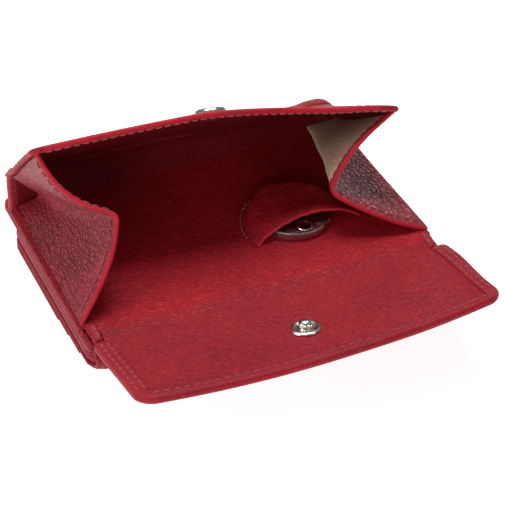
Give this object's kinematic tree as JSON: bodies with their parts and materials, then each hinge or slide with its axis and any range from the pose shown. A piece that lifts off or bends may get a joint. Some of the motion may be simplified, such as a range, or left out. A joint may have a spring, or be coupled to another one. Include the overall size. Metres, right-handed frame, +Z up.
{
  "type": "coin purse",
  "caption": "Open leather coin purse: a gusseted coin box with a hinged lid, a snap flap and a chip pocket, on a slim card section.",
  "frame": {"origin": "centre of the card section's flat underside, on the surface that the purse lies on", "axes": "+X along the purse's width and its fold lines, +Y from the flap to the rear wall, +Z up out of the coin box"},
  "size_m": [0.106, 0.1092, 0.0518],
  "materials": {
    "cherry_leather": "pebbled cherry-red calf leather, satin",
    "smooth_leather": "smooth cherry-red lining leather, satin",
    "beige_lining": "beige nappa-like lining, matt",
    "board": "stiffening board, matt, hidden",
    "nickel": "polished nickel plate",
    "chip_steel": "polished steel"
  },
  "bodies": {
    "card_section": {"card_pocket_rear": "cherry_leather", "card_pocket_middle": "cherry_leather", "card_pocket_front": "cherry_leather", "card_panel": "smooth_leather", "card_board": "board", "card_cover": "cherry_leather", "spine": "cherry_leather"},
    "coin_section": {"base_outer": "cherry_leather", "base_board": "board", "floor_lining": "smooth_leather", "chip_pocket": "smooth_leather", "rear_wall": "cherry_leather", "rear_wall_lining": "smooth_leather", "rear_fold": "cherry_leather"},
    "lid": {"lid_outer": "cherry_leather", "lid_lining": "smooth_leather", "snap_socket": "nickel", "socket_rivet": "nickel", "left_upper_gusset": "cherry_leather", "left_upper_gusset_lining": "beige_lining", "right_upper_gusset": "cherry_leather", "right_upper_gusset_lining": "beige_lining"},
    "left_lower_gusset": {"left_lower_gusset": "cherry_leather", "left_lower_gusset_lining": "beige_lining"},
    "right_lower_gusset": {"right_lower_gusset": "cherry_leather", "right_lower_gusset_lining": "beige_lining"},
    "front_wall": {"front_wall_outer": "cherry_leather", "front_wall_lining": "smooth_leather"},
    "flap": {"flap_outer": "cherry_leather", "flap_lining": "smooth_leather", "snap_stud": "nickel", "snap_cap": "nickel"},
    "chip": {"trolley_chip": "chip_steel"}
  },
  "joints": [
    {"name": "wallet_fold", "type": "hinge", "parent": "card_section", "child": "coin_section", "pos_m": [0, -0.0346, 0.00825], "axis": [1, 0, 0], "range_deg": [0, 80]},
    {"name": "lid_hinge", "type": "hinge", "parent": "coin_section", "child": "lid", "pos_m": [0, 0.03295, 0.023], "axis": [1, 0, 0], "range_deg": [0, 47], "deforming": ["left_upper_gusset", "left_upper_gusset_lining", "right_upper_gusset", "right_upper_gusset_lining"]},
    {"name": "left_gusset_fold", "type": "hinge", "parent": "coin_section", "child": "left_lower_gusset", "pos_m": [-0.0513, 0, 0.01375], "axis": [0, 1, 0], "range_deg": [0, 45.8]},
    {"name": "right_gusset_fold", "type": "hinge", "parent": "coin_section", "child": "right_lower_gusset", "pos_m": [0.0513, 0, 0.01375], "axis": [0, -1, 0], "range_deg": [0, 13.6]},
    {"name": "front_wall_fold", "type": "hinge", "parent": "coin_section", "child": "front_wall", "pos_m": [0, -0.0245, 0.013], "axis": [-1, 0, 0], "range_deg": [0, 90]},
    {"name": "flap_fold", "type": "hinge", "parent": "front_wall", "child": "flap", "pos_m": [0, -0.032, 0.013], "axis": [-1, 0, 0], "range_deg": [0, 64.43]},
    {"name": "chip_slide", "type": "slide", "parent": "coin_section", "child": "chip", "axis": [0, -1, 0], "range_m": [0, 0.008]}
  ],
  "couplings": [
    {"joint": "left_gusset_fold", "follows": "lid_hinge", "ratio": 0.97447},
    {"joint": "right_gusset_fold", "follows": "lid_hinge", "ratio": 0.28936},
    {"joint": "front_wall_fold", "follows": "lid_hinge", "ratio": 1.9149},
    {"joint": "flap_fold", "follows": "lid_hinge", "ratio": 1.3709}
  ]
}
